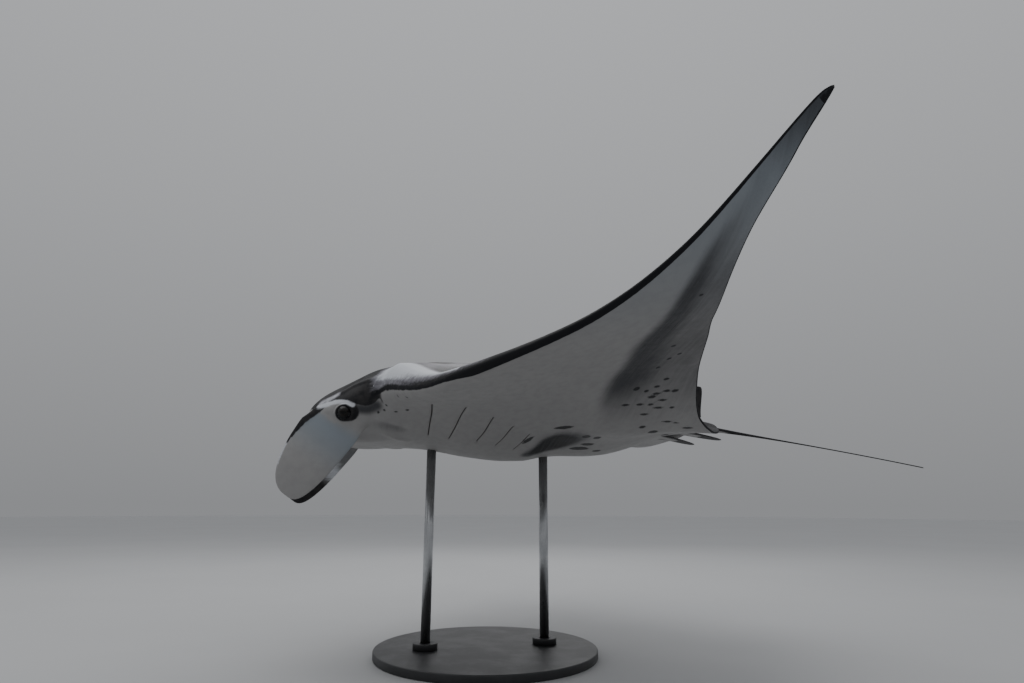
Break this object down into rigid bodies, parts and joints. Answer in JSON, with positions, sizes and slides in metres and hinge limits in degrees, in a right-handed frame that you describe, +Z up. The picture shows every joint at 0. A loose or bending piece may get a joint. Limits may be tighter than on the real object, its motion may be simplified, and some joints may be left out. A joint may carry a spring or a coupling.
{
  "type": "manta ray on display stand",
  "caption": "Life-size reef manta ray in mid stroke, fins raised and head lobes hanging, held by rods on a flat round base.",
  "frame": {"origin": "middle of the stand's underside, on the floor", "axes": "+Z up; the ray faces -Y, its tail points to +Y and its left fin is on +X"},
  "size_m": [3.0772, 3.0046, 1.464],
  "materials": {
    "skin": "satin ray skin, dark above and pale below",
    "eye": "wet gloss",
    "stand_paint": "satin powder coat",
    "rod_steel": "fine brushed"
  },
  "bodies": {
    "root": {"head": "skin", "trunk": "skin", "pectoral_fin_left_root": "skin", "pectoral_fin_left_middle": "skin", "pectoral_fin_left_tip": "skin", "pectoral_fin_right_root": "skin", "pectoral_fin_right_middle": "skin", "pectoral_fin_right_tip": "skin", "cephalic_fin_left": "skin", "cephalic_fin_right": "skin", "pelvic_fin_left": "skin", "pelvic_fin_right": "skin", "dorsal_fin": "skin", "tail_base": "skin", "tail_middle": "skin", "tail_tip": "skin", "eye_left": "eye", "eye_right": "eye", "stand_base": "stand_paint", "stand_collar_front": "stand_paint", "stand_collar_rear": "stand_paint", "stand_rod_front": "rod_steel", "stand_rod_rear": "rod_steel"}
  },
  "joints": []
}
